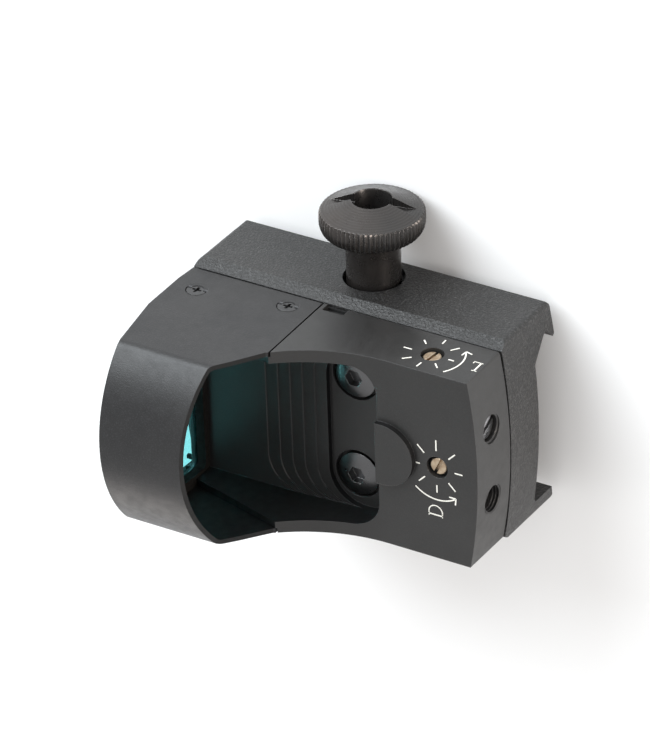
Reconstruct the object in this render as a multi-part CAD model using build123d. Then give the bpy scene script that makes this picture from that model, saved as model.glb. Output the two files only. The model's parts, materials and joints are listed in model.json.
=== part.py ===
# Open reflex red dot sight on a one-piece clamp base for a 21 mm accessory rail.
# Frame: +X towards the lens (forward), +Y to the user's left, +Z up.
# The origin is the centre of the rail seat, the flat floor of the clamp's channel.
import math
import os

from build123d import *

# ---------------------------------------------------------------- driving dimensions
base_length = 42.0          # clamp base and sight body, corner to corner
end_bulge = 1.2             # both ends are arcs in plan, this much fuller in the middle
base_width = 27.2
seat_to_top = 6.55          # rail seat to the top face of the clamp base
gasket_thickness = 0.25
side_chamfer_width = 0.85
side_chamfer_height = 1.35
side_bottom = -4.65

rail_half_top = 7.75        # half width of the rail's flat top
rail_half_width = 10.6      # half width over the rail's V flanks
flank_drop = rail_half_width - rail_half_top
flank_flat = 0.35
claw_tip_half = 9.25
leg_inner = 11.55
leg_bottom = -4.85
mount_corner = 0.7
body_corner = 0.45

body_half_width = 12.8      # at the bottom of the sight body
side_draft = 0.03           # how much the sides lean in, per mm of height
deck_height = 7.7           # heights of the sight are above the gasket
deck_front = -8.75
mid_floor = 4.0
front_floor = 5.4
wall_inner = 10.9
seam_x = 3.0                # where the hood's side plates begin
wall_top = 12.35
wall_sweep_radius = 20.8
wall_sweep_start = -10.0
hood_wall = 0.6
cheek_gap = 0.06            # between the hood and the body's cheeks inside it
seam_gap = 0.2              # between the hood's rear edge and the body

hood_bend_height = 18.1
hood_rise = 4.9
hood_front_bend = 20.0
hood_rear_bend = 7.5

riser_x = -0.1              # the tall first riser, then low anti-glare steps up to the lens
riser_height = 0.75
step_count = 5
step_pitch = 1.63
step_corner = 4.5
deck_corner = 3.6
lens_seat_x = 16.4
sill_front_x = 20.15
nose_top = 3.3
lens_rear_x = 17.6
window_sill = 6.3
lens_bottom = 5.45           # the glass stands on the sill, inside the frame's open front
lens_inset = 0.5
ear_inner = 11.4            # the frame ends in two low ears beside the nose
ear_top = 3.8
ear_front_x = 21.95
ear_link = 0.55
frame_gap = 0.08            # round the frame, inside the hood
frame_wall = 1.5            # width of the ring behind the glass

mount_screw_x = -3.7
mount_screw_y = 6.7
head_floor = 3.0
hood_screw_spots = [(17.95, 4.2), (6.35, 2.45)]
hood_screw_radius = 1.25

bolt_x = 0.2
bolt_z = -0.3
bolt_radius = 2.25
shank_radius = 3.3
shank_hole_radius = 3.75
shank_hole_floor = -9.0
knob_radius = 6.35
knob_top = -24.1
knob_dome = 1.35            # rise of the coned top above its rim
knob_rim_radius = 5.9
knob_edge = 0.4             # rounding between the knurled band and the rim
knob_bore_radius = 2.42
knob_bore_depth = 3.2
knob_slot_half_width = 0.78
knob_slot_half_length = 5.45
knob_slot_depth = 1.17      # its flat floor runs out through the coned top
knob_slot_angle = 15
knob_grip = 1.55            # the knurled band's depth below the rim
knob_bowl_width = 2.2       # the rounded underside
knob_bowl_depth = 1.8
knob_teeth = 66

jaw_half_length = 7.0
jaw_inner = 8.5
jaw_outer = 13.5
jaw_top = 2.9

elevation_x = -16.8
windage_x = -14.25
windage_z = 3.9
adjuster_radius = 1.12
adjuster_recess_radius = 1.42
adjuster_hole_radius = 1.17
adjuster_sink = 0.3
elevation_slot_angle = 64
windage_slot_angle = 84
lock_y = 4.8
lock_z = 3.95
lock_radius = 1.78
lock_hole_radius = 1.85
lock_length = 2.0
lock_outer_right = -21.3     # the right screw sits near the surface, the left one deeper
lock_outer_left = -20.6

chamber_rear = -18.9
chamber_front = -9.9
chamber_half_width = 7.6
chamber_top = 5.4
slide_rear = -17.9
boss_radius = 4.1
boss_rise = 0.7
window_bottom = 5.2

battery_x = 8.6
battery_radius = 10.0
battery_height = 3.2
battery_bottom = -2.45      # below the gasket's top face

sight_base = seat_to_top + gasket_thickness
lift = Pos(0, 0, sight_base)    # puts a piece of the sight on top of the gasket
far = 60.0                      # longer than the whole sight


# ---------------------------------------------------------------- shapes used often
def block(x0, x1, y0, y1, z0, z1):
    centre = Pos((x0 + x1) / 2, (y0 + y1) / 2, (z0 + z1) / 2)
    return centre * Box(x1 - x0, y1 - y0, z1 - z0)


def rod_x(radius, x0, x1, y, z):
    return Pos((x0 + x1) / 2, y, z) * Rot(0, 90, 0) * Cylinder(radius, abs(x1 - x0))


def rod_y(radius, y0, y1, x, z):
    return Pos(x, (y0 + y1) / 2, z) * Rot(90, 0, 0) * Cylinder(radius, abs(y1 - y0))


def rod_z(radius, z0, z1, x, y):
    return Pos(x, y, (z0 + z1) / 2) * Cylinder(radius, abs(z1 - z0))


def along_x(points, x0=-far / 2, x1=far / 2):
    # A closed (Y, Z) outline pushed along X.
    face = Plane.YZ.offset(x0) * make_face(Polyline(*points, close=True))
    return extrude(face, x1 - x0, dir=(1, 0, 0))


def along_y(points, y0=-far / 2, y1=far / 2):
    # A closed (X, Z) outline pushed along Y.
    outline = Polyline(*[(x, y0, z) for x, z in points], close=True)
    return extrude(make_face(outline), y1 - y0, dir=(0, 1, 0))


def turned(points):
    # A closed (radius, height) outline turned about Z.
    outline = Polyline(*[(r, 0, z) for r, z in points], close=True)
    return revolve(make_face(outline), Axis.Z)


def barrel_plan(length, width, bulge, z0, z1, corner):
    # Straight sides, both ends swelling outwards as arcs, the four corners rounded.
    h = length / 2
    w = width / 2
    edges = [
        Line((-h, -w), (h, -w)),
        ThreePointArc((h, -w), (h + bulge, 0), (h, w)),
        Line((h, w), (-h, w)),
        ThreePointArc((-h, w), (-h - bulge, 0), (-h, -w)),
    ]
    plan = Pos(0, 0, z0) * extrude(make_face(edges), z1 - z0)
    return fillet(plan.edges().filter_by(Axis.Z), corner)


def body_half(z):
    return body_half_width - side_draft * z


def hex_socket(across_flats, depth):
    # A hexagonal prism below Z = 0.
    return extrude(RegularPolygon(across_flats / math.sqrt(3), 6), -depth)


def coil(radius, wire, length, turns):
    # An open coil standing on Z = 0, both ends within its length.
    path = Helix(pitch=(length - wire) / turns, height=length - wire, radius=radius)
    start = Plane(origin=path @ 0, z_dir=path % 0)
    return Pos(0, 0, wire / 2) * sweep(start * Circle(wire / 2), path, is_frenet=True)


# ---------------------------------------------------------------- clamp base
def rail_mount():
    half = base_width / 2
    outline = [
        (-half + side_chamfer_width, seat_to_top),
        (-half, seat_to_top - side_chamfer_height),
        (-half, side_bottom),
        (-half + 0.3, side_bottom - 0.15),
        (-claw_tip_half - 0.3, side_bottom - 0.25),
        (-claw_tip_half, side_bottom + 0.1),
        (-rail_half_width, -flank_drop - flank_flat),
        (-rail_half_width, -flank_drop),
        (-rail_half_top, 0),
        (leg_inner - 0.5, 0),
        (leg_inner, -0.5),
        (leg_inner, leg_bottom + 0.5),
        (half - 0.6, leg_bottom),
        (half, side_bottom + 0.3),
        (half, seat_to_top - side_chamfer_height),
        (half - side_chamfer_width, seat_to_top),
    ]
    plan = barrel_plan(base_length, base_width, end_bulge, -8, 8, mount_corner)
    mount = along_x(outline) & plan
    mount -= rod_y(shank_hole_radius, -16, shank_hole_floor, bolt_x, bolt_z)
    mount -= rod_y(bolt_radius + 0.25, -16, 12, bolt_x, bolt_z)
    gap = jaw_half_length + 0.2
    mount -= block(-gap, gap, jaw_inner - 0.3, 20, -8, jaw_top + 0.2)
    mount -= rod_z(battery_radius + 0.2, seat_to_top + battery_bottom, 8, battery_x, 0)
    mount -= block(-3.4, battery_x - 8, -1.7, 1.7, seat_to_top + battery_bottom - 0.35, 8)
    for side in (-1, 1):
        mount -= rod_z(1.3, 1.2, 8, mount_screw_x, side * mount_screw_y)
        mount -= rod_z(0.75, 4.4, 8, -17.0, side * 9.6)
    return mount


def clamp_jaw():
    outline = [
        (jaw_outer, jaw_top),
        (jaw_inner, jaw_top),
        (jaw_inner, -(jaw_inner - rail_half_top)),
        (rail_half_width + 0.05, -flank_drop - 0.05),
        (rail_half_width + 0.05, -flank_drop - flank_flat),
        (claw_tip_half + 0.05, side_bottom + 0.1),
        (claw_tip_half + 0.35, side_bottom - 0.25),
        (jaw_outer - 0.4, side_bottom - 0.2),
        (jaw_outer, side_bottom + 0.2),
    ]
    jaw = along_x(outline, -jaw_half_length, jaw_half_length)
    jaw = fillet(jaw.edges().filter_by(Axis.Z).group_by(Axis.Y)[-1], 0.8)
    return jaw - rod_y(bolt_radius + 0.06, 5, 20, bolt_x, bolt_z)


def thumb_screw():
    # Head, thick shank and threaded end in one piece, drawn along Z with its top up.
    top = -knob_top
    rim = top - knob_dome
    grip_bottom = rim - knob_grip
    bowl = []
    for angle in (90, 70, 50, 30, 15, 0):
        inward = knob_bowl_width * (1 - math.cos(math.radians(angle)))
        down = knob_bowl_depth * math.sin(math.radians(angle))
        bowl.append((knob_radius - inward, grip_bottom - down))
    outline = [
        (0, -13.4),
        (bolt_radius - 0.4, -13.4),
        (bolt_radius, -13.0),
        (bolt_radius, -shank_hole_floor + 0.55),
        (shank_radius, -shank_hole_floor + 0.55),
        (shank_radius, grip_bottom - knob_bowl_depth),
        *bowl,
        (knob_radius, rim - knob_edge),
        (knob_radius - knob_edge * 0.3, rim - knob_edge * 0.4),
        (knob_rim_radius, rim),
        (knob_bore_radius + 0.12, top),
        (0, top),
    ]
    screw = turned(outline)
    screw -= rod_z(knob_bore_radius, top - knob_bore_depth, top, 0, 0)
    slot = block(-knob_slot_half_length, knob_slot_half_length, -knob_slot_half_width,
                 knob_slot_half_width, top - knob_slot_depth, top + 1)
    screw -= Rot(0, 0, knob_slot_angle) * slot
    tooth = Pos(knob_radius + 0.12, 0, 0) * Rot(0, 0, 45) * Box(0.32, 0.32, far)
    step = 360 / knob_teeth
    teeth = [Rot(0, 0, i * step) * tooth for i in range(knob_teeth)]
    screw -= teeth
    turn_to_side = Rot(90, 0, 0)
    return Pos(bolt_x, 0, bolt_z) * turn_to_side * screw


def spring_washer():
    ring = rod_y(shank_radius - 0.05, shank_hole_floor - 0.5, shank_hole_floor, bolt_x, bolt_z)
    return ring - rod_y(bolt_radius + 0.1, -20, 0, bolt_x, bolt_z)


def base_gasket():
    inset = 0.45
    sheet = barrel_plan(base_length - 2 * inset, 2 * body_half_width - 2 * inset, end_bulge,
                        seat_to_top, sight_base, body_corner)
    sheet -= rod_z(battery_radius + 0.4, 0, 20, battery_x, 0)
    sheet -= block(-3.6, battery_x, -1.9, 1.9, 0, 20)
    sheet -= block(chamber_rear - 0.2, chamber_front + 0.2, -chamber_half_width - 0.2,
                   chamber_half_width + 0.2, 0, 20)
    for side in (-1, 1):
        sheet -= rod_z(1.7, 0, 20, mount_screw_x, side * mount_screw_y)
        sheet -= rod_z(0.9, 0, 20, -17.0, side * 9.6)
    return sheet


def locating_pins():
    pins = [rod_z(0.73, 4.5, sight_base + 1.3, -17.0, side * 9.6) for side in (-1, 1)]
    return Compound(children=pins)


# ---------------------------------------------------------------- sight body
def sweep_height(x):
    run = x - wall_sweep_start
    return deck_height + wall_sweep_radius - math.sqrt(wall_sweep_radius ** 2 - run ** 2)


def body_side_outline():
    # Side view: low deck at the back, walls sweeping up to the hood seam, low cheeks under it.
    middle = (wall_sweep_start + seam_x) / 2
    edges = [
        Line((-24, 0, 0), (24, 0, 0)),
        Line((24, 0, 0), (24, 0, nose_top)),
        Line((24, 0, nose_top), (sill_front_x, 0, nose_top)),
        Line((sill_front_x, 0, nose_top), (sill_front_x, 0, front_floor)),
        Line((sill_front_x, 0, front_floor), (lens_seat_x, 0, front_floor)),
        Line((lens_seat_x, 0, front_floor), (lens_seat_x, 0, 8.5)),
        Line((lens_seat_x, 0, 8.5), (seam_x, 0, wall_top)),
        ThreePointArc(
            (seam_x, 0, wall_top),
            (middle, 0, sweep_height(middle)),
            (wall_sweep_start, 0, deck_height),
        ),
        Line((wall_sweep_start, 0, deck_height), (-24, 0, deck_height)),
        Line((-24, 0, deck_height), (-24, 0, 0)),
    ]
    return Pos(0, -far / 2, 0) * extrude(make_face(edges), far, dir=(0, 1, 0))


def milled_pocket(front_x, floor):
    # A pocket between the walls, open upwards, with the rounded corners a cutter leaves.
    half = wall_inner
    back = deck_corner
    front = step_corner
    near = 1 - math.sqrt(0.5)
    edges = [
        Line((deck_front + back, -half), (front_x - front, -half)),
        ThreePointArc(
            (front_x - front, -half),
            (front_x - front * near, -half + front * near),
            (front_x, -half + front),
        ),
        Line((front_x, -half + front), (front_x, half - front)),
        ThreePointArc(
            (front_x, half - front),
            (front_x - front * near, half - front * near),
            (front_x - front, half),
        ),
        Line((front_x - front, half), (deck_front + back, half)),
        ThreePointArc(
            (deck_front + back, half),
            (deck_front + back * near, half - back * near),
            (deck_front, half - back),
        ),
        Line((deck_front, half - back), (deck_front, -half + back)),
        ThreePointArc(
            (deck_front, -half + back),
            (deck_front + back * near, -half + back * near),
            (deck_front + back, -half),
        ),
    ]
    return Pos(0, 0, floor) * extrude(make_face(edges), far)


def sight_pocket():
    # Deepest round the mounting screws, then rising in steps to the floor behind the lens.
    pocket = milled_pocket(riser_x, mid_floor)
    low = mid_floor + riser_height
    rise = (front_floor - low) / step_count
    for i in range(step_count):
        pocket += milled_pocket(riser_x + step_pitch * (i + 1), low + rise * i)
    top = milled_pocket(lens_seat_x + step_corner + 2, front_floor)
    return pocket + (top & block(-far, lens_seat_x, -far, far, 0, far))


def half_round(radius, straight, z0, z1, front_x):
    # A tongue with a straight front edge and a half-round back.
    tongue = rod_z(radius, z0, z1, front_x - straight, 0)
    tongue &= block(-far, front_x - straight, -far, far, 0, far)
    return tongue + block(front_x - straight, front_x, -radius, radius, z0, z1)


def sight_body():
    top_half = body_half(13)
    section = [(-body_half_width, 0), (body_half_width, 0), (top_half, 13), (-top_half, 13)]
    body = barrel_plan(base_length, 2 * body_half_width, end_bulge, 0, 14, body_corner)
    body = body & along_x(section) & body_side_outline()
    cheek_low = body_half(-1) - hood_wall - cheek_gap
    cheek_high = body_half(14) - hood_wall - cheek_gap
    cheeks = [(-cheek_low, -1), (cheek_low, -1), (cheek_high, 14), (-cheek_high, 14)]
    body -= block(seam_x - seam_gap, far, -far, far, -1, 14) - along_x(cheeks)
    body -= sight_pocket()
    body += half_round(boss_radius, 0.95, 6, deck_height + boss_rise, deck_front)
    # Chamber for the emitter's slides, its high end inside the boss, and the board's bay.
    body -= block(chamber_rear, chamber_front, -chamber_half_width, chamber_half_width,
                  0, chamber_top)
    body -= half_round(boss_radius - 0.8, 1.1, chamber_top, deck_height, deck_front)
    body -= block(chamber_front - 1, deck_front + 1, -2.9, 2.9, window_bottom, deck_height)
    body -= block(chamber_front - 1, -1.4, -4.3, 4.3, 0, 2.9)
    body -= rod_z(battery_radius + 0.2, -1, 1.05, battery_x, 0)
    body -= block(-3.4, 4.5, -1.7, 1.7, -1, 1.6)
    # Holes for the adjusters, lock screws, mounting screws, pins and hood screws.
    body -= rod_z(adjuster_hole_radius, 4, 9, elevation_x, 0)
    body -= rod_z(adjuster_recess_radius, deck_height - 1.1, 9, elevation_x, 0)
    wall_y = -body_half(windage_z)
    body -= rod_y(adjuster_hole_radius, -14, -7, windage_x, windage_z)
    body -= rod_y(adjuster_recess_radius, -14, wall_y + 1.1, windage_x, windage_z)
    for side in (-1, 1):
        body -= rod_x(lock_hole_radius, -24, chamber_rear + 1, side * lock_y, lock_z)
        body -= rod_z(1.6, -1, 9, mount_screw_x, side * mount_screw_y)
        body -= rod_z(3.15, head_floor, 9, mount_screw_x, side * mount_screw_y) & block(
            -far, far, -wall_inner, wall_inner, 0, far)
        body -= rod_z(0.75, -1, 1.5, -17.0, side * 9.6)
        low, high = sorted((side * 9.1, side * 14))
        for x, z in hood_screw_spots:
            body -= rod_y(0.82, low, high, x, z)
    notch = block(-0.6, 2.3, -14, -body_half_width + 0.8, -1, 1.35)
    return lift * (body - notch)


def chamber_cover():
    plate = block(chamber_rear + 0.1, chamber_front - 0.1, -chamber_half_width + 0.1,
                  chamber_half_width - 0.1, -gasket_thickness + 0.02, 0.55)
    return lift * plate


# ---------------------------------------------------------------- hood, lens and frame
def hood_section(inset, bottom):
    # (Y, Z) outline of the hood: leaning sides, a bend, and an arched top.
    low = body_half(bottom) - inset
    bend = body_half(hood_bend_height) - inset
    shoulder = hood_bend_height - inset * 0.35
    crown = hood_bend_height + hood_rise - inset
    edges = [
        Line((-bend, shoulder), (-low, bottom)),
        Line((-low, bottom), (low, bottom)),
        Line((low, bottom), (bend, shoulder)),
        ThreePointArc((bend, shoulder), (0, crown), (-bend, shoulder)),
    ]
    return make_face(edges)


def hood_block(inset, bottom, x0, x1, corner):
    face = Plane.YZ.offset(x0) * hood_section(inset, bottom)
    solid = extrude(face, x1 - x0, dir=(1, 0, 0))
    ridges = [e for e in solid.edges().filter_by(Axis.X)
              if e.center().Z > hood_bend_height - 3]
    return fillet(ridges, corner)


def lens_hood():
    shell = hood_block(0, 0.12, 0, 24, 1.5) - hood_block(hood_wall, -1, -1, 25, 0.7)
    side_view = [
        (seam_x, -1),
        (seam_x, wall_top),
        (seam_x + 0.25, wall_top + 0.1),
        (5.9, 16.1),
        (hood_rear_bend, hood_bend_height),
        (hood_rear_bend + 1.8, hood_bend_height + hood_rise + 0.6),
        (hood_front_bend + 0.27, hood_bend_height + hood_rise + 0.6),
        (hood_front_bend, hood_bend_height),
        (21.35, 9.5),
        (21.3, 3.0),
        (20.9, -1),
    ]
    hood = shell & along_y(side_view)
    for side in (-1, 1):
        for x, z in hood_screw_spots:
            y = side * body_half(z)
            head = Cone(hood_screw_radius - 0.3, hood_screw_radius + 0.15, hood_wall)
            seat = Pos(x, y - side * hood_wall / 2, z) * Rot(-90 * side, 0, 0) * head
            hood -= seat
            low, high = sorted((y - side * 2, y + side * 2))
            hood -= rod_y(0.86, low, high, x, z)
    return lift * hood


def cross_recess(size, depth):
    # A tapered cross below Z = 0.
    bars = Box(size, size * 0.3, 2 * depth) + Box(size * 0.3, size, 2 * depth)
    return bars


def hood_screws():
    length = 2.9
    screws = []
    for side in (-1, 1):
        for x, z in hood_screw_spots:
            screw = turned([
                (0, -length), (0.78, -length), (0.78, -0.5),
                (hood_screw_radius, -0.14), (hood_screw_radius, 0), (0, 0),
            ])
            screw -= cross_recess(1.25, 0.45)
            place = Pos(x, side * (body_half(z) - 0.04), z) * Rot(-90 * side, 0, 0)
            screws.append(lift * place * screw)
    return Compound(children=screws)


def frame_outline(inset, bottom, x0, x1):
    # The lens frame's shape: the hood's own section, stood in from its inner face.
    face = Plane.YZ.offset(x0) * hood_section(hood_wall + inset, bottom)
    solid = extrude(face, x1 - x0, dir=(1, 0, 0))
    ridges = [e for e in solid.edges().filter_by(Axis.X) if e.center().Z > hood_bend_height - 4]
    solid = fillet(ridges, 1.4)
    low = [e for e in solid.edges().filter_by(Axis.X) if e.center().Z < bottom + 0.5]
    return fillet(low, 0.8)


def lens_frame():
    # A ring behind the glass, thin bars round its edge, and a low ear beside each end of the nose.
    frame = frame_outline(frame_gap, front_floor + 0.03, lens_seat_x + 0.03, sill_front_x + 0.1)
    frame -= frame_outline(frame_wall, window_sill, 0, far)
    frame -= frame_outline(lens_inset, front_floor - 0.05, lens_rear_x, far)
    nose = frame_outline(frame_gap, nose_top + 0.03, sill_front_x + 0.03, ear_front_x)
    ears = nose & block(0, far, -far, far, 0, ear_top)
    ears += nose & block(0, sill_front_x + ear_link, -far, far, 0, front_floor + 0.6)
    return lift * (frame + (ears - block(0, far, -ear_inner, ear_inner, 0, far)))


def lens():
    glass = frame_outline(lens_inset + 0.05, lens_bottom, lens_rear_x + 0.02, lens_rear_x + 1.8)
    return lift * glass


def lens_seal():
    front = lens_rear_x + 1.82
    ring = frame_outline(lens_inset + 0.05, lens_bottom, front, front + 0.38)
    return lift * (ring - frame_outline(lens_inset + 0.32, lens_bottom + 0.3, 0, far))


# ---------------------------------------------------------------- fasteners
def mounting_screws():
    # M3 screws with low domed heads and hexagon sockets, through the floor into the base.
    head_radius = 2.78
    head_height = 1.6
    crown = 0.6
    cap = (head_radius ** 2 + crown ** 2) / (2 * crown)
    screws = []
    for side in (-1, 1):
        dome = Pos(0, 0, head_height - cap) * Sphere(cap)
        dome &= rod_z(head_radius - 0.03, 0, head_height, 0, 0)
        screw = dome + rod_z(1.25, -8.3, 0.1, 0, 0)
        screw -= Pos(0, 0, head_height) * hex_socket(2.0, 1.15)
        place = Pos(mount_screw_x, side * mount_screw_y, head_floor)
        screws.append(lift * place * screw)
    return Compound(children=screws)


def slotted_adjuster(length):
    # Brass adjusting screw, its slotted end at Z = 0 and its point below.
    screw = turned([
        (0, -length), (adjuster_radius - 0.4, -length), (adjuster_radius, -length + 0.4),
        (adjuster_radius, -0.12), (adjuster_radius - 0.12, 0), (0, 0),
    ])
    return screw - block(-2, 2, -0.2, 0.2, -0.55, 1)


def elevation_screw():
    length = deck_height - adjuster_sink - 4.95
    turn = Rot(0, 0, elevation_slot_angle)
    return lift * Pos(elevation_x, 0, deck_height - adjuster_sink) * turn * slotted_adjuster(length)


def windage_screw():
    y = -body_half(windage_z) + adjuster_sink
    length = -5.95 - y
    place = Pos(windage_x, y, windage_z) * Rot(90, 0, 0) * Rot(0, 0, windage_slot_angle)
    return lift * place * slotted_adjuster(length)


def windage_pad():
    return lift * rod_y(0.95, -5.93, -5.04, windage_x, windage_z)


def lock_screw(side, outer_x):
    length = lock_length
    body = turned([
        (0, -length), (lock_radius - 0.3, -length), (lock_radius, -length + 0.3),
        (lock_radius, -0.25), (lock_radius - 0.25, 0), (0, 0),
    ])
    body -= block(-3, 3, -0.32, 0.32, -0.8, 1)
    place = Pos(outer_x, side * lock_y, lock_z) * Rot(0, -90, 0) * Rot(0, 0, 25)
    return lift * place * body


def lock_pad(side, outer_x):
    rear = outer_x + lock_length + 0.02
    return lift * rod_x(1.2, rear, slide_rear - 0.3, side * lock_y, lock_z)


# ---------------------------------------------------------------- emitter and its slides
def elevation_slide():
    floor_top = 2.0
    slide = block(slide_rear, -15.6, -6.2, 6.2, 1.15, 4.9)
    slide += block(-15.7, -10.6, -4.4, 4.4, 1.15, floor_top)
    slide -= rod_z(1.35, 0, 3.9, elevation_x, 0)
    return lift * slide


def windage_slide():
    slide = block(-15.5, -10.4, -5.0, 5.0, 2.05, 4.9)
    slide += block(-12.0, -10.0, -1.5, 1.5, 4.8, 7.2)
    slide -= rod_y(1.35, 2.6, 8, windage_x, windage_z - 0.4)
    slide -= rod_x(0.62, -11.2, -9, 0, 6.35)
    return lift * slide


def led_emitter():
    led = rod_x(0.6, -11.15, -9.75, 0, 6.35)
    led += Pos(-9.75, 0, 6.35) * Sphere(0.6)
    led += rod_x(0.85, -9.98, -9.8, 0, 6.35)
    return lift * led


def emitter_window():
    return lift * block(-9.08, -8.8, -2.85, 2.85, window_bottom + 0.05, deck_height - 0.05)


def light_sensor():
    return lift * block(-9.65, -9.3, 2.25, 2.85, 5.6, 6.6)


def elevation_spring():
    return lift * Pos(elevation_x, 0, 0.57) * coil(0.95, 0.3, 3.3, 5)


def windage_spring():
    place = Pos(windage_x, chamber_half_width - 0.02, windage_z - 0.4) * Rot(90, 0, 0)
    return lift * place * coil(0.95, 0.3, 4.9, 7)


# ---------------------------------------------------------------- electronics
def circuit_board():
    board = block(-9.4, -1.7, -4.1, 4.1, 1.75, 2.5)
    return lift * board


def driver_chips():
    chips = [
        lift * block(-7.6, -5.4, -1.4, 0.8, 1.15, 1.75),
        lift * block(-4.4, -3.2, 1.4, 2.2, 1.25, 1.75),
        lift * block(-4.4, -3.2, -2.4, -1.6, 1.25, 1.75),
    ]
    return Compound(children=chips)


def battery_contact_top():
    strip = block(-2.9, 4.2, -1.3, 1.3, 1.22, 1.42)
    strip += block(-3.1, -2.9, -1.3, 1.3, 1.22, 1.74)
    strip += block(3.4, 4.2, -1.3, 1.3, 0.8, 1.22)
    return lift * strip


def battery_contact_bottom():
    low = battery_bottom - 0.33
    strip = block(-2.2, -2.0, -1.3, 1.3, low, 1.0)
    strip += block(-2.2, 0.4, -1.3, 1.3, low, low + 0.15)
    strip += block(-0.2, 0.4, -1.3, 1.3, low, battery_bottom - 0.02)
    return lift * strip


def coin_battery():
    cell = rod_z(battery_radius, battery_bottom, battery_bottom + battery_height, battery_x, 0)
    return lift * fillet(cell.edges(), 0.35)


parts = {
    "rail_mount": rail_mount(),
    "clamp_jaw": clamp_jaw(),
    "thumb_screw": thumb_screw(),
    "spring_washer": spring_washer(),
    "base_gasket": base_gasket(),
    "locating_pins": locating_pins(),
    "sight_body": sight_body(),
    "chamber_cover": chamber_cover(),
    "lens_hood": lens_hood(),
    "hood_screws": hood_screws(),
    "lens_frame": lens_frame(),
    "lens": lens(),
    "lens_seal": lens_seal(),
    "mounting_screws": mounting_screws(),
    "elevation_screw": elevation_screw(),
    "windage_screw": windage_screw(),
    "windage_pad": windage_pad(),
    "lock_screw_right": lock_screw(-1, lock_outer_right),
    "lock_screw_left": lock_screw(1, lock_outer_left),
    "lock_pad_right": lock_pad(-1, lock_outer_right),
    "lock_pad_left": lock_pad(1, lock_outer_left),
    "elevation_slide": elevation_slide(),
    "windage_slide": windage_slide(),
    "led_emitter": led_emitter(),
    "emitter_window": emitter_window(),
    "light_sensor": light_sensor(),
    "elevation_spring": elevation_spring(),
    "windage_spring": windage_spring(),
    "circuit_board": circuit_board(),
    "driver_chips": driver_chips(),
    "battery_contact_top": battery_contact_top(),
    "battery_contact_bottom": battery_contact_bottom(),
    "coin_battery": coin_battery(),
}

os.makedirs("parts", exist_ok=True)
for name, shape in parts.items():
    export_step(shape, f"parts/{name}.step")
    print(name)
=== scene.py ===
import json
import math

import bmesh
import bpy
from mathutils import Matrix, Vector


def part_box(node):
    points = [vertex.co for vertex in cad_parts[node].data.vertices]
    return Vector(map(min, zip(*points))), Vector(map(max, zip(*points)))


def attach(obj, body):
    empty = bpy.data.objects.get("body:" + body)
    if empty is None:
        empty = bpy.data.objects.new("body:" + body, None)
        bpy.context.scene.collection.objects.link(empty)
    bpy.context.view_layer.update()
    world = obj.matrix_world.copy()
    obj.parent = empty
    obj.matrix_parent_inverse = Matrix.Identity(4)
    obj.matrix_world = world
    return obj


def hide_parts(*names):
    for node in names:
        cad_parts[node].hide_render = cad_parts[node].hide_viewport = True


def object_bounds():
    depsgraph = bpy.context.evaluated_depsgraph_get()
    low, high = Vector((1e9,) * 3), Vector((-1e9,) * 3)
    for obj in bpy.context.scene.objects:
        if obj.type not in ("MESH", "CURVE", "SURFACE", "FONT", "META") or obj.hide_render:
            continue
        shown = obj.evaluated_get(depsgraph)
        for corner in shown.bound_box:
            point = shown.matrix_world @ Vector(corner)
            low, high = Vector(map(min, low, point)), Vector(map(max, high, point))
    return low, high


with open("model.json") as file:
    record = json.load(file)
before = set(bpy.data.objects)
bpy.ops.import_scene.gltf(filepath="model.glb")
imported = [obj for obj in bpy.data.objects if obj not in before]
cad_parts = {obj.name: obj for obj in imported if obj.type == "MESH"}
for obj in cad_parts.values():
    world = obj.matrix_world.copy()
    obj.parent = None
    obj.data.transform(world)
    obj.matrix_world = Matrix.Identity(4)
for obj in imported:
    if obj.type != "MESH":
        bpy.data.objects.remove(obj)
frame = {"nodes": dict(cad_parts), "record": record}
cadLow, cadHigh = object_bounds()
cadNodes = frame["nodes"]
mm = 0.001


# small helpers for node trees
def addNode(tree, kind, settings=None, **values):
    node = tree.nodes.new(kind)
    for key, value in (settings or {}).items():
        setattr(node, key, value)
    for key, value in values.items():
        node.inputs[key.replace("_", " ")].default_value = value
    return node


def rgba(colour):
    return (colour[0], colour[1], colour[2], 1.0)


def noiseAt(tree, coords, sizeMm, detail=2.0, rough=0.5):
    noise = addNode(tree, "ShaderNodeTexNoise",
                    Scale=1 / (sizeMm * mm), Detail=detail, Roughness=rough)
    tree.links.new(coords, noise.inputs["Vector"])
    return noise.outputs["Fac"]


def remap(tree, source, low, high, outLow, outHigh):
    node = addNode(tree, "ShaderNodeMapRange")
    limits = {"From Min": low, "From Max": high, "To Min": outLow, "To Max": outHigh}
    for socket, value in limits.items():
        node.inputs[socket].default_value = value
    tree.links.new(source, node.inputs["Value"])
    return node.outputs["Result"]


def blendColours(tree, factor, first, second):
    node = addNode(tree, "ShaderNodeMix", {"data_type": "RGBA"})
    for socket, value in ((0, factor), (6, first), (7, second)):
        if isinstance(value, bpy.types.NodeSocket):
            tree.links.new(value, node.inputs[socket])
        else:
            node.inputs[socket].default_value = value
    return node.outputs[2]


# what every finish shares; sizes are in mm
finishRange = {
    "patches": (0.35, 0.65),       # noise values that patches run between
    "speckles": (0.5, 0.75),
    "gloss": (0.3, 0.7),
    "glossSize": 1.2,
    "wornEdge": (0.97, 0.8),       # how far an edge turns before it shows wear and painted highlight
    "ringLift": 2.2,
}


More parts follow.
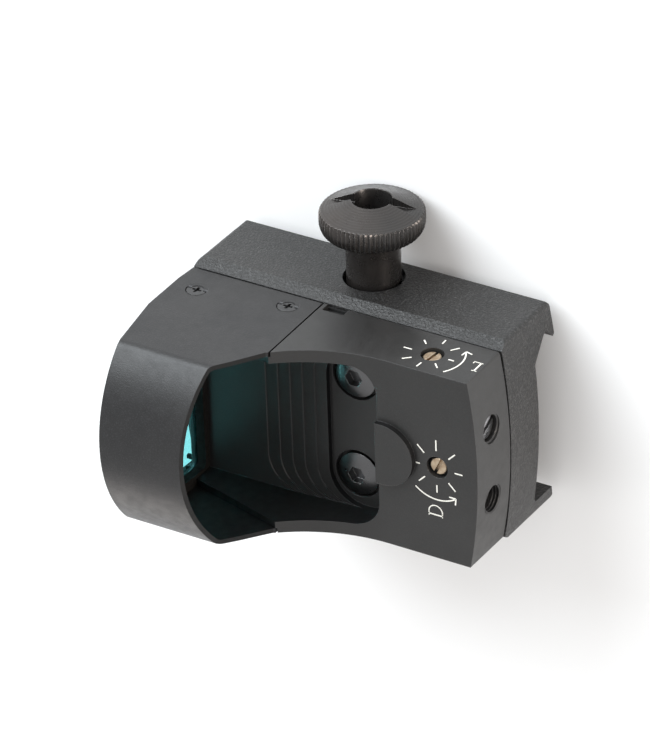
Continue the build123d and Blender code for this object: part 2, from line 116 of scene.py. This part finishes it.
def finishOf(name, look):
    # patches shift the colour, the grain gives speckle and bump, and edge wear with a painted edge
    # highlight brightens the edges
    material = bpy.data.materials.new(name)
    material.use_nodes = True
    tree = material.node_tree
    shader = tree.nodes["Principled BSDF"]
    shader.inputs["Metallic"].default_value = look.get("metallic", 0.0)
    shader.inputs["IOR"].default_value = 1.5
    shader.inputs["Specular IOR Level"].default_value = look.get("specular", 0.5)
    shader.inputs["Coat Weight"].default_value = look.get("coat", 0.0)
    shader.inputs["Coat Roughness"].default_value = 0.1
    coords = addNode(tree, "ShaderNodeTexCoord").outputs["Object"]
    grain = noiseAt(tree, coords, look.get("grainSize", 0.2), 3.0, 0.6)
    patches = noiseAt(tree, coords, look.get("patchSize", 9.0), 2.0)
    colour = blendColours(tree, remap(tree, patches, *finishRange["patches"], 0.0, 1.0),
                          rgba(look["colour"]), rgba(look.get("second", look["colour"])))
    if look.get("speckle", 0.0) > 0:
        lighter = [channel * (1 + look["speckle"]) for channel in look["colour"]]
        colour = blendColours(tree, remap(tree, grain, *finishRange["speckles"], 0.0, 1.0),
                              colour, rgba(lighter))
    # edge wear and painted highlight: every rounded edge is brightened towards one lighter colour
    if "wear" in look:
        edge = addNode(tree, "ShaderNodeBevel", {"samples": 3},
                       Radius=look.get("wearRadius", 0.12) * mm)
        surface = addNode(tree, "ShaderNodeNewGeometry")
        facing = addNode(tree, "ShaderNodeVectorMath", {"operation": "DOT_PRODUCT"})
        tree.links.new(edge.outputs["Normal"], facing.inputs[0])
        tree.links.new(surface.outputs["Normal"], facing.inputs[1])
        wornAndLit = remap(tree, facing.outputs["Value"], *finishRange["wornEdge"], 0.0, look["wear"])
        colour = blendColours(tree, wornAndLit, colour, rgba(look["wearColour"]))
    height = grain
    if "rings" in look:
        centre, axis, pitch, share = look["rings"]
        shift = addNode(tree, "ShaderNodeMapping")
        shift.inputs["Location"].default_value = [-value * mm for value in centre]
        tree.links.new(coords, shift.inputs["Vector"])
        # the wave repeats every tau / 20 of its own units
        rings = addNode(tree, "ShaderNodeTexWave", {"wave_type": "RINGS", "rings_direction": axis},
                        Scale=math.tau / 20 / (pitch * mm), Distortion=1.2, Detail=2.0)
        tree.links.new(shift.outputs["Vector"], rings.inputs["Vector"])
        height = blendColours(tree, share, grain, rings.outputs["Fac"])
        shade = remap(tree, rings.outputs["Fac"], 0.0, 1.0, 0.0, look.get("ringShade", 0.0))
        lifted = [channel * finishRange["ringLift"] for channel in look["colour"]]
        colour = blendColours(tree, shade, colour, rgba(lifted))
    tree.links.new(colour, shader.inputs["Base Color"])
    gloss = noiseAt(tree, coords, finishRange["glossSize"], 3.0)
    tree.links.new(remap(tree, gloss, *finishRange["gloss"], *look["roughness"]),
                   shader.inputs["Roughness"])
    bump = addNode(tree, "ShaderNodeBump",
                   Strength=look.get("bump", 0.3), Distance=look.get("bumpDepth", 0.02) * mm)
    if "wear" in look:
        tree.links.new(edge.outputs["Normal"], bump.inputs["Normal"])
    tree.links.new(height, bump.inputs["Height"])
    tree.links.new(bump.outputs["Normal"], shader.inputs["Normal"])
    return material


# finishes, named after what the part is made of; inner_black also serves as painted shade
finishLooks = {
    "blasted_black": {
        "colour": (0.012, 0.012, 0.012), "second": (0.016, 0.0156, 0.0152), "speckle": 4.5,
        "roughness": (0.28, 0.38), "grainSize": 0.29, "bump": 1.0, "bumpDepth": 0.15,
        "specular": 0.40, "wear": 0.35, "wearColour": (0.10, 0.105, 0.115)},
    "satin_black": {
        "colour": (0.016, 0.0157, 0.0155), "second": (0.020, 0.0195, 0.019), "speckle": 0.7,
        "roughness": (0.32, 0.42), "grainSize": 0.14, "bump": 0.3, "bumpDepth": 0.02,
        "specular": 0.48, "wear": 0.4, "wearColour": (0.10, 0.10, 0.105)},
    "hood_black": {
        "colour": (0.012, 0.012, 0.0128), "second": (0.016, 0.0157, 0.016), "speckle": 1.3,
        "roughness": (0.30, 0.42), "grainSize": 0.17, "bump": 0.6, "bumpDepth": 0.035,
        "specular": 0.40, "wear": 0.3, "wearColour": (0.09, 0.09, 0.10)},
    "frame_black": {
        "colour": (0.004, 0.0035, 0.003), "roughness": (0.6, 0.8), "grainSize": 0.5,
        "bump": 0.8, "bumpDepth": 0.05, "specular": 0.15},
    "blued_steel": {
        "colour": (0.046, 0.044, 0.043), "second": (0.066, 0.058, 0.054), "metallic": 0.8,
        "roughness": (0.22, 0.36), "grainSize": 0.14, "bump": 0.6, "bumpDepth": 0.02,
        "rings": ((0.2, 0, -0.3), "Y", 0.36, 0.6), "ringShade": 0.25,
        "wear": 0.7, "wearColour": (0.34, 0.32, 0.31), "wearRadius": 0.07},
    "black_steel": {
        "colour": (0.14, 0.14, 0.143), "second": (0.18, 0.18, 0.182), "metallic": 1.0,
        "roughness": (0.26, 0.38), "grainSize": 0.12, "bump": 0.5,
        "wear": 0.8, "wearColour": (0.50, 0.49, 0.48), "wearRadius": 0.08},
    "screw_black": {
        "colour": (0.020, 0.020, 0.021), "second": (0.026, 0.026, 0.027),
        "roughness": (0.3, 0.42), "grainSize": 0.12, "bump": 0.4,
        "wear": 0.6, "wearColour": (0.25, 0.24, 0.24), "wearRadius": 0.04},
    "spring_steel": {
        "colour": (0.45, 0.45, 0.46), "metallic": 1.0, "roughness": (0.25, 0.4), "bump": 0.15},
    "brass": {
        "colour": (0.62, 0.50, 0.36), "second": (0.42, 0.30, 0.20), "metallic": 1.0,
        "roughness": (0.32, 0.45), "grainSize": 0.2, "patchSize": 0.7,
        "bump": 0.5, "bumpDepth": 0.02, "wear": 0.7, "wearColour": (0.90, 0.82, 0.68)},
    # painted shade: this matt black is also put on the body's and hood's faces that fall in shade
    "inner_black": {
        "colour": (0.004, 0.004, 0.0042), "roughness": (0.5, 0.65), "grainSize": 0.2,
        "bump": 0.3, "specular": 0.3},
    "seal_rubber": {
        "colour": (0.006, 0.006, 0.006), "roughness": (0.6, 0.75), "grainSize": 0.25,
        "bump": 0.3},
    "slide_plastic": {
        "colour": (0.02, 0.02, 0.021), "roughness": (0.45, 0.6), "grainSize": 0.3, "bump": 0.2},
    "pad_nylon": {
        "colour": (0.62, 0.60, 0.54), "roughness": (0.45, 0.6), "grainSize": 0.3, "bump": 0.15},
    "led_red": {
        "colour": (0.45, 0.02, 0.02), "roughness": (0.15, 0.25), "coat": 0.6, "bump": 0.05},
    "board_green": {
        "colour": (0.01, 0.10, 0.045), "second": (0.012, 0.13, 0.05),
        "roughness": (0.3, 0.45), "coat": 0.4, "bump": 0.15},
    "chip_black": {
        "colour": (0.012, 0.012, 0.013), "roughness": (0.5, 0.65), "grainSize": 0.1,
        "bump": 0.25},
    "contact_metal": {
        "colour": (0.72, 0.66, 0.52), "metallic": 1.0, "roughness": (0.25, 0.4), "bump": 0.12},
    "cell_steel": {
        "colour": (0.62, 0.63, 0.64), "second": (0.55, 0.56, 0.58), "metallic": 1.0,
        "roughness": (0.22, 0.34), "bump": 0.12},
}
finishes = {name: finishOf(name, look) for name, look in finishLooks.items()}
print("finishes made:", len(finishes))


def clearGlass(name, tint, roughness):
    # solid clear material: the tint is what passes through it
    material = bpy.data.materials.new(name)
    material.use_nodes = True
    tree = material.node_tree
    shader = tree.nodes["Principled BSDF"]
    shader.inputs["Transmission Weight"].default_value = 1.0
    shader.inputs["IOR"].default_value = 1.52
    coords = addNode(tree, "ShaderNodeTexCoord").outputs["Object"]
    cloud = remap(tree, noiseAt(tree, coords, 7.0), *finishRange["patches"], 0.0, 1.0)
    deeper = [channel * 0.96 for channel in tint]
    tree.links.new(blendColours(tree, cloud, rgba(tint), rgba(deeper)),
                   shader.inputs["Base Color"])
    gloss = noiseAt(tree, coords, 2.0)
    tree.links.new(remap(tree, gloss, *finishRange["gloss"], 0.0, roughness),
                   shader.inputs["Roughness"])
    return material


finishes["coated_glass"] = clearGlass("coated_glass", (0.26, 0.83, 0.86), 0.02)
finishes["clear_plastic"] = clearGlass("clear_plastic", (0.80, 0.82, 0.82), 0.08)


# bmesh helpers
def mergedCopy(nodeName):
    # joins the loose triangles and clears the lines across flat faces
    bm = bmesh.new()
    bm.from_mesh(cadNodes[nodeName].data)
    bmesh.ops.remove_doubles(bm, verts=bm.verts, dist=0.001 * mm)
    bmesh.ops.dissolve_limit(bm, angle_limit=math.radians(0.25), verts=bm.verts, edges=bm.edges)
    return bm


def smoothShade(bm, creaseDegrees=30):
    for face in bm.faces:
        face.smooth = True
    for edge in bm.edges:
        joined = len(edge.link_faces) == 2
        edge.smooth = joined and edge.calc_face_angle(0) < math.radians(creaseDegrees)


def addPiece(name, bm, finish, body, slotName, *replaced):
    mesh = bpy.data.meshes.new(name)
    bm.to_mesh(mesh)
    bm.free()
    piece = bpy.data.objects.new(name, mesh)
    bpy.context.scene.collection.objects.link(piece)
    for material in finish if isinstance(finish, (list, tuple)) else [finish]:
        mesh.materials.append(material)
    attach(piece, body)
    if replaced:
        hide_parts(*replaced)
    return piece


edgeRound = {
    "crease": 25,           # degrees; flatter edges stay as they are
    "shareOfFace": 0.35,    # the widest a round may be beside a narrow face
    "segments": 3,
}


def weighEdges(bm, width):
    # the round shrinks beside a narrow face, so it never reaches across it
    weights = bm.edges.layers.float.new("bevel_weight_edge")
    crease = math.radians(edgeRound["crease"])
    for edge in bm.edges:
        if len(edge.link_faces) == 2 and edge.calc_face_angle(0) > crease:
            narrow = min(2 * face.calc_area() / face.calc_perimeter() for face in edge.link_faces)
            edge[weights] = min(1.0, edgeRound["shareOfFace"] * narrow / (width * mm))


def roundEdges(piece, width):
    bevel = piece.modifiers.new("edgeRound", "BEVEL")
    bevel.width = width * mm
    bevel.segments = edgeRound["segments"]
    bevel.limit_method = "WEIGHT"
    bevel.harden_normals = True


# gives the painted shade finish to the faces that the test picks
def paintShadeOnFaces(bm, test):
    for face in bm.faces:
        if test(face.calc_center_median() / mm, face.normal):
            face.material_index = 1


# painted shade: where faces that fall in shade get a matt black instead of their outer finish, in
# mm
paintedShadeZones = {
    "hoodMiddle": 19.0,        # height that the hood's inner wall faces
    "wall": (9.5, 11.2),       # inner faces of the body's side walls, out from the middle
    "wallLow": 10.5,
    "ledgeFrom": 10.8,         # ledges on those walls, under the hood
    "ledgeRear": 3.2,
    "ledgeLow": 14.5,
    "bossHalf": 4.3,           # side of the round boss over the emitter
    "bossLow": 14.4,
    "bossFront": -8.6,
    "riser": (10.7, 11.6),     # the floor's one tall riser
    "riserSpan": (-6, 1),
}


def hoodShade(centre, normal):
    # painted shade on the hood's rim and inner wall
    inward = Vector((0, -centre.y, paintedShadeZones["hoodMiddle"] - centre.z)).normalized()
    return normal.x < -0.6 or normal.dot(inward) > 0.35


# painted shade inside the body: its inner walls, the ledges, the first riser and the side of the
# round boss
def bodyShade(centre, normal):
    zone = paintedShadeZones
    x, out, z = centre.x, abs(centre.y), centre.z
    wall = zone["wall"][0] < out < zone["wall"][1] and z > zone["wallLow"] and x > zone["bossFront"]
    inwards = abs(normal.z) < 0.5 and normal.y * centre.y < 0
    ledge = out > zone["ledgeFrom"] and x > zone["ledgeRear"] and z > zone["ledgeLow"]
    boss = out < zone["bossHalf"] and z > zone["bossLow"] and x < zone["bossFront"]
    riser = (zone["riser"][0] < z < zone["riser"][1] and abs(normal.z) < 0.3
             and zone["riserSpan"][0] < x < zone["riserSpan"][1])
    return ledge or riser or (wall and inwards) or (boss and normal.z < 0.3)


record = frame["record"]
bodyOf = {member: body for body, members in record["behaviour"]["bodies"].items()
          for member in members}
slotOf = {part["node"]: part["material_slot"] for part in record["subparts"]}

# parts with the same shape and their edges broken, as machined parts have; edge widths are in mm
machinedParts = {
    "rail_mount": {"edge": 0.22},
    "clamp_jaw": {"edge": 0.2},
    # the body and hood also get painted shade: matt black on their faces that fall in shade
    "sight_body": {"edge": 0.16, "paint": bodyShade},
    "lens_hood": {"edge": 0.12, "paint": hoodShade},
    "lens_frame": {},
    "hood_screws": {"finish": "screw_black"},
    "mounting_screws": {},
    "elevation_screw": {},
    "windage_screw": {},
    "lock_screw_right": {},
    "lock_screw_left": {},
}
for nodeName, treat in machinedParts.items():
    copied = mergedCopy(nodeName)
    smoothShade(copied)
    if "paint" in treat:
        paintShadeOnFaces(copied, treat["paint"])
    if "edge" in treat:
        weighEdges(copied, treat["edge"])
    pieceName = nodeName.title().replace("_", "")
    outer = finishes[treat.get("finish", slotOf[nodeName])]
    # the second finish is painted shade, for the faces that fall in shade
    madePiece = addPiece(pieceName, copied, [outer, finishes["inner_black"]],
                         bodyOf[nodeName], slotOf[nodeName], nodeName)
    if "edge" in treat:
        roundEdges(madePiece, treat["edge"])
print("machined parts:", len(machinedParts))


def profileSpin(bm, profile, steps):
    # turns a (radius, height) profile about Z and closes its poles
    ring = [bm.verts.new((radius * mm, 0, height * mm)) for radius, height in profile]
    lines = [bm.edges.new(pair) for pair in zip(ring, ring[1:])]
    bmesh.ops.spin(bm, geom=ring + lines, cent=(0, 0, 0), axis=(0, 0, 1), angle=math.tau,
                   steps=steps, use_merge=True)
    bmesh.ops.remove_doubles(bm, verts=bm.verts, dist=0.0005 * mm)
    bmesh.ops.recalc_face_normals(bm, faces=bm.faces)


def cutAway(bm, cutter):
    # takes one closed shape out of another
    made = []
    for name, shape in (("blank", bm), ("cutter", cutter)):
        mesh = bpy.data.meshes.new(name)
        shape.to_mesh(mesh)
        shape.free()
        made.append(bpy.data.objects.new(name, mesh))
        bpy.context.scene.collection.objects.link(made[-1])
    cut = made[0].modifiers.new("cut", "BOOLEAN")
    cut.operation = "DIFFERENCE"
    cut.solver = "EXACT"
    cut.object = made[1]
    bpy.context.view_layer.update()
    seen = made[0].evaluated_get(bpy.context.evaluated_depsgraph_get())
    result = bmesh.new()
    result.from_mesh(seen.to_mesh())
    seen.to_mesh_clear()
    for item in made:
        mesh = item.data
        bpy.data.objects.remove(item)
        bpy.data.meshes.remove(mesh)
    return result


# thumb screw: knurled head with a coned, slotted top, thick shank and threaded end; heights run
# outwards from the clamp's middle plane, and sizes are in mm
thumbScrew = {
    "teeth": 66,
    "stepsPerTooth": 4,
    "toothDepth": 0.2,
    "toothFade": (0.9, 0.2),      # run-out at the shank side and at the rim
    "knurlLow": 19.3,
    "knurlInside": 4.2,
    "slotHalfWidth": 0.78,
    "slotReach": 5.45,
    "slotFloor": 22.93,
    "slotTurn": 15,
    "rim": 22.75,
    "top": 24.1,
    "headRadius": 6.35,
    "boreRadius": 2.42,
    "shankRadius": 3.3,
    "shankEnds": (9.55, 19.15),
    "threadRadius": 2.25,
    "threadCore": 1.95,
    "threadPitch": 0.8,
    "threadEnds": (-12.8, -5.0),
    "tip": -13.4,
    "centre": (0.2, -0.3),
}


def makeThumbScrew():
    size = thumbScrew
    outer, core = size["threadRadius"], size["threadCore"]
    height, threadEnd = size["threadEnds"]
    threads = []
    while height < threadEnd:
        threads += [(outer, height), (core, height + size["threadPitch"] / 2)]
        height += size["threadPitch"]
    rim, top, head = size["rim"], size["top"], size["headRadius"]
    bore, shank = size["boreRadius"], size["shankRadius"]
    seat, neck = size["shankEnds"]
    profile = [(0, size["tip"]), (1.85, size["tip"]), (2.2, size["tip"] + 0.35)] + threads + [
        (outer, height), (outer, seat), (shank - 0.1, seat), (shank, seat + 0.1), (shank, neck),
        (3.36, 19.36), (3.6, 19.41), (4.15, 19.42), (4.7, 19.50), (5.25, 19.64), (5.65, 19.84),
        (5.95, 20.12), (6.15, 20.45), (6.27, 20.8), (head, 21.2), (head, rim - 0.42),
        (6.30, rim - 0.22), (6.18, rim - 0.08), (6.0, rim - 0.01), (5.9, rim),
        (5.78, rim + 0.04), (4.2, rim + 0.66), (2.7, top - 0.06), (2.54, top),
        (2.46, top - 0.03), (bore, top - 0.12), (bore, top - 3.1), (2.35, top - 3.19),
        (0, top - 3.19)]
    bm = bmesh.new()
    profileSpin(bm, profile, size["teeth"] * size["stepsPerTooth"])
    lowFade, rimFade = size["toothFade"]
    for vert in bm.verts:
        height, radius = vert.co.z / mm, vert.co.xy.length / mm
        if radius > size["knurlInside"] and size["knurlLow"] < height < rim - 0.02:
            turn = math.atan2(vert.co.y, vert.co.x) / math.tau * size["teeth"] % 1.0
            fade = (min(1.0, (height - size["knurlLow"]) / lowFade)
                    * min(1.0, (rim - height) / rimFade))
            share = 1 - size["toothDepth"] * fade * (1 - abs(2 * turn - 1)) / radius
            vert.co.xy = vert.co.xy * share
    # the slot: a disc cut down to a bar with round ends
    slot = bmesh.new()
    slotHeight = 4
    middle = Matrix.Translation((0, 0, (size["slotFloor"] + slotHeight / 2) * mm))
    bmesh.ops.create_cone(slot, cap_ends=True, segments=96, depth=slotHeight * mm, matrix=middle,
                          radius1=size["slotReach"] * mm, radius2=size["slotReach"] * mm)
    for side in (-1, 1):
        half = size["slotHalfWidth"] * mm
        bmesh.ops.bisect_plane(slot, geom=slot.verts[:] + slot.edges[:] + slot.faces[:],
                               plane_co=(0, side * half, 0), plane_no=(0, side, 0),
                               clear_outer=True)
        openEdges = [edge for edge in slot.edges if edge.is_boundary]
        bmesh.ops.holes_fill(slot, edges=openEdges, sides=0)
    bmesh.ops.recalc_face_normals(slot, faces=slot.faces)
    screw = cutAway(bm, slot)
    x, z = size["centre"]
    turned = Matrix.Rotation(math.radians(90), 4, "X") @ Matrix.Rotation(
        math.radians(size["slotTurn"]), 4, "Z")
    place = Matrix.Translation((x * mm, 0, z * mm)) @ turned
    bmesh.ops.transform(screw, matrix=place, verts=screw.verts)
    smoothShade(screw, 24)
    addPiece("ThumbScrew", screw, finishes["blued_steel"], "thumb_screw", "blued_steel",
             "thumb_screw")


makeThumbScrew()


# thread crests in the lock screws' holes, outside each screw's travel, in mm
lockThreads = {
    "root": 1.87,
    "crest": 1.64,
    "crestHalf": 0.02,
    "half": 0.13,
    "pitch": 0.42,
    "clear": 0.45,         # the screw's travel and a little more
    "mouth": -21.92,
    "spacing": 4.8,        # holes, out from the middle
    "height": 10.75,
}
for side, screwNode in ((-1, "lock_screw_right"), (1, "lock_screw_left")):
    root, crest = lockThreads["root"], lockThreads["crest"]
    half, crestHalf = lockThreads["half"], lockThreads["crestHalf"]
    ridge = [(root, -half), (crest, -crestHalf), (crest, crestHalf), (root, half), (root, -half)]
    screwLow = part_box(screwNode)[0].x / mm - lockThreads["clear"]
    bm = bmesh.new()
    while screwLow > lockThreads["mouth"]:
        ring = bmesh.new()
        profileSpin(ring, ridge, 48)
        place = Matrix.Translation((screwLow * mm, side * lockThreads["spacing"] * mm,
                                    lockThreads["height"] * mm))
        place = place @ Matrix.Rotation(math.radians(90), 4, "Y")
        bmesh.ops.transform(ring, matrix=place, verts=ring.verts)
        ringMesh = bpy.data.meshes.new("ring")
        ring.to_mesh(ringMesh)
        ring.free()
        bm.from_mesh(ringMesh)
        bpy.data.meshes.remove(ringMesh)
        screwLow -= lockThreads["pitch"]
    smoothShade(bm, 40)
    addPiece("LockThread" + ("Right" if side < 0 else "Left"), bm, finishes["satin_black"],
             "sight", "satin_black")
print("thumb screw and threads made")

# everything else keeps its shape and gets its finish
for nodeName, cadObject in cadNodes.items():
    if nodeName not in machinedParts and nodeName != "thumb_screw":
        cadObject.data.materials.clear()
        cadObject.data.materials.append(finishes[slotOf[nodeName]])
print("finished CAD parts:", len(cadNodes) - len(machinedParts) - 1)


# dial marks
def flatBar(bm, x, y, length, width, angleDegrees):
    turn = Matrix.Rotation(math.radians(angleDegrees), 4, "Z")
    shape = Matrix.Diagonal((length * mm, width * mm, 1, 1))
    bmesh.ops.create_grid(bm, x_segments=1, y_segments=1, size=0.5,
                          matrix=Matrix.Translation((x * mm, y * mm, 0)) @ turn @ shape)


def flatArc(bm, x, y, radius, width, start, sweep, steps):
    turn = Matrix.Rotation(math.radians(start), 4, "Z")
    centre = Vector((x * mm, y * mm, 0))
    ends = []
    for side in (-1, 1):
        reach = Vector(((radius + side * width / 2) * mm, 0, 0))
        ends.append(bm.verts.new(centre + turn @ reach))
    strip = bm.edges.new(ends)
    bmesh.ops.spin(bm, geom=ends + [strip], cent=centre, axis=(0, 0, 1),
                   angle=math.radians(sweep), steps=steps, use_merge=False)


# lines of light paint; a tick is (angle, inner radius, outer radius), all lengths in mm
dialMarks = {
    "tickWidth": 0.17,
    "arrowWidth": 0.18,
    "headOpening": 42,
    "letterStroke": 0.12,
    "thickness": 0.02,
    "sunk": 0.006,             # the paint starts just inside the metal
    "deckTop": 14.5,
    "sideFoot": (12.8, 6.8),   # the body's side face starts here, out and up
    "sideLean": 0.03,
    "elevationTicks": [(0, 2.25, 2.8), (45, 2.25, 3.45), (90, 2.35, 3.35), (135, 2.25, 3.55),
                       (180, 2.45, 3.5), (225, 2.35, 3.6), (270, 2.35, 3.8), (315, 2.3, 3.6)],
    "windageTicks": [(0, 2.65, 3.75), (40, 2.35, 3.5), (84, 2.0, 2.95), (133, 1.95, 2.95),
                     (180, 2.25, 3.0), (231, 2.35, 3.5), (272, 2.65, 3.5), (315, 2.5, 3.4)],
}
finishes["mark_paint"] = finishOf("mark_paint", {
    "colour": (0.80, 0.78, 0.72), "second": (0.70, 0.68, 0.62), "patchSize": 0.5,
    "roughness": (0.5, 0.65), "grainSize": 0.1, "bump": 0.2, "bumpDepth": 0.01})


def letterD(bm, x, y, height, stroke):
    # straight stem with serifs and a round bowl, its top towards +Y
    flatBar(bm, x - height * 0.28, y, stroke * 1.5, height, 0)
    flatBar(bm, x - height * 0.24, y + height / 2 - stroke / 2, height * 0.32, stroke, 0)
    flatBar(bm, x - height * 0.24, y - height / 2 + stroke / 2, height * 0.32, stroke, 0)
    flatArc(bm, x - height * 0.10, y, height / 2 - stroke / 2, stroke * 1.2, -90, 180, 20)


def letterL(bm, x, y, height, stroke):
    flatBar(bm, x - height * 0.14, y, stroke * 1.7, height, 0)
    flatBar(bm, x + height * 0.04, y - height / 2 + stroke / 2, height * 0.62, stroke, 0)
    flatBar(bm, x - height * 0.14, y + height / 2 - stroke / 2, height * 0.36, stroke, 0)
    flatBar(bm, x + height * 0.33, y - height * 0.40, stroke, height * 0.22, 0)


def arrowHead(bm, x, y, size, pointing):
    for side in (-1, 1):
        barTurn = pointing + 180 + side * dialMarks["headOpening"]
        reach = math.radians(barTurn)
        flatBar(bm, x + math.cos(reach) * size / 2, y + math.sin(reach) * size / 2, size,
                dialMarks["arrowWidth"], barTurn)


def addDial(name, place, ticks, arc, head, drawLetter, letterPlace, letterHeight):
    # drawn flat round the adjuster, then stood on its surface
    bm = bmesh.new()
    for angle, inner, outer in ticks:
        turn = math.radians(angle)
        middle = (inner + outer) / 2
        flatBar(bm, math.cos(turn) * middle, math.sin(turn) * middle, outer - inner,
                dialMarks["tickWidth"], angle)
    radius, start, sweep = arc
    flatArc(bm, 0, 0, radius, dialMarks["arrowWidth"], start, sweep, 24)
    arrowHead(bm, *head)
    letter = bmesh.new()
    drawLetter(letter, 0, 0, letterHeight, dialMarks["letterStroke"])
    bmesh.ops.transform(letter, matrix=letterPlace, verts=letter.verts)
    letterMesh = bpy.data.meshes.new(name + "Letter")
    letter.to_mesh(letterMesh)
    letter.free()
    bm.from_mesh(letterMesh)
    bpy.data.meshes.remove(letterMesh)
    bmesh.ops.recalc_face_normals(bm, faces=bm.faces)
    for face in bm.faces:
        if face.normal.z < 0:
            face.normal_flip()
    raised = bmesh.ops.extrude_face_region(bm, geom=bm.faces[:])
    top = [item for item in raised["geom"] if isinstance(item, bmesh.types.BMVert)]
    bmesh.ops.translate(bm, verts=top, vec=(0, 0, dialMarks["thickness"] * mm))
    bmesh.ops.recalc_face_normals(bm, faces=bm.faces)
    bmesh.ops.transform(bm, matrix=place, verts=bm.verts)
    addPiece(name, bm, finishes["mark_paint"], "sight", None)


def placeOn(origin, right, up):
    right, up = Vector(right).normalized(), Vector(up).normalized()
    out = right.cross(up)
    place = Matrix((right, up, out)).transposed().to_4x4()
    place.translation = origin
    return place


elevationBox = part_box("elevation_screw")
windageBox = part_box("windage_screw")
elevationCentre = (elevationBox[0] + elevationBox[1]) / 2 + Vector((0.1 * mm, 0, 0))
elevationCentre.y = 0.1 * mm
elevationCentre.z = (dialMarks["deckTop"] - dialMarks["sunk"]) * mm
addDial("ElevationDial", placeOn(elevationCentre, (1, 0, 0), (0, 1, 0)),
        dialMarks["elevationTicks"], (4.35, 48, 76), (-2.55, 3.5, 0.9, 222), letterD,
        Matrix.Translation((0.25 * mm, 5.95 * mm, 0)) @ Matrix.Rotation(
            math.radians(-90), 4, "Z"), 1.95)

windageCentre = (windageBox[0] + windageBox[1]) / 2
footOut, footUp = dialMarks["sideFoot"]
leanIn = dialMarks["sideLean"] * (windageCentre.z / mm - footUp)
windageCentre.y = -(footOut - leanIn - dialMarks["sunk"]) * mm
windageCentre.z += 0.2 * mm
addDial("WindageDial", placeOn(windageCentre, (1, 0, 0), (0, dialMarks["sideLean"], 1)),
        dialMarks["windageTicks"], (4.0, 140, 74), (-3.3, -2.4, 0.9, 304), letterL,
        Matrix.Translation((-5.85 * mm, -0.1 * mm, 0)), 1.9)
print("dials painted")


# a long lens from behind and above, turned about its own axis so that the sight lies on its side
cameraView = {
    "location": (-0.3239, -0.3683, 0.52326),
    "right": (-0.854, 0.031, -0.519),
    "forward": (0.459, 0.513, -0.725),
    "lens": 288,
    "sensor": 36,
    "clipping": (0.01, 50),
}
cameraData = bpy.data.cameras.new("viewCamera")
cameraData.lens = cameraView["lens"]
cameraData.sensor_width = cameraView["sensor"]
cameraData.clip_start, cameraData.clip_end = cameraView["clipping"]
camera = bpy.data.objects.new("viewCamera", cameraData)
bpy.context.scene.collection.objects.link(camera)
backward = -Vector(cameraView["forward"]).normalized()
rightward = Vector(cameraView["right"])
rightward = (rightward - backward * rightward.dot(backward)).normalized()
upward = backward.cross(rightward)
stand = Matrix((rightward, upward, backward)).transposed().to_4x4()
stand.translation = Vector(cameraView["location"])
camera.matrix_world = stand
bpy.context.scene.camera = camera

# floor and light; a box's row is its direction, size, watts and colour
studio = {
    "floorRadius": 6.0,
    "floorGap": 0.02 * mm,
    "floorColour": (0.90, 0.90, 0.90),
    "world": (1.0, 1.0, 1.0),
    "worldStrength": 0.80,
    "boxDistance": 0.6,
    "boxes": {
        "keyBox": ((0.46, -0.72, 0.46), 0.56, 5.0, (0.90, 0.96, 1.0)),
        "rearBox": ((-0.95, -0.20, 0.05), 0.35, 4.5, (1.0, 0.90, 0.82)),
        "farBox": ((0.46, 0.87, 0.17), 0.30, 0.4, (1.0, 0.93, 0.88)),
        "frontBox": ((0.75, 0.30, 0.10), 0.30, 1.5, (1.0, 1.0, 1.0)),
    },
}
floorMesh = bmesh.new()
bmesh.ops.create_circle(floorMesh, cap_ends=True, segments=96, radius=studio["floorRadius"],
                        matrix=Matrix.Translation((0, 0, cadLow.z - studio["floorGap"])))
floorData = bpy.data.meshes.new("floor")
floorMesh.to_mesh(floorData)
floorMesh.free()
floor = bpy.data.objects.new("floor", floorData)
bpy.context.scene.collection.objects.link(floor)
floorData.materials.append(finishOf("pale_floor", {
    "colour": studio["floorColour"], "roughness": (0.85, 0.95), "grainSize": 30, "bump": 0.0}))

world = bpy.data.worlds.new("studio")
bpy.context.scene.world = world
world.use_nodes = True
background = world.node_tree.nodes["Background"]
background.inputs["Color"].default_value = rgba(studio["world"])
background.inputs["Strength"].default_value = studio["worldStrength"]


def softbox(name, direction, size, watts, colour):
    data = bpy.data.lights.new(name, "AREA")
    data.shape = "DISK"
    data.size = size
    data.energy = watts
    data.color = colour
    box = bpy.data.objects.new(name, data)
    bpy.context.scene.collection.objects.link(box)
    toward = Vector(direction).normalized()
    box.location = toward * studio["boxDistance"]
    box.rotation_mode = "QUATERNION"
    box.rotation_quaternion = toward.to_track_quat("Z", "Y")


for boxName, settings in studio["boxes"].items():
    softbox(boxName, *settings)
bpy.context.scene.view_settings.view_transform = "Standard"
print("camera, floor and light ready")
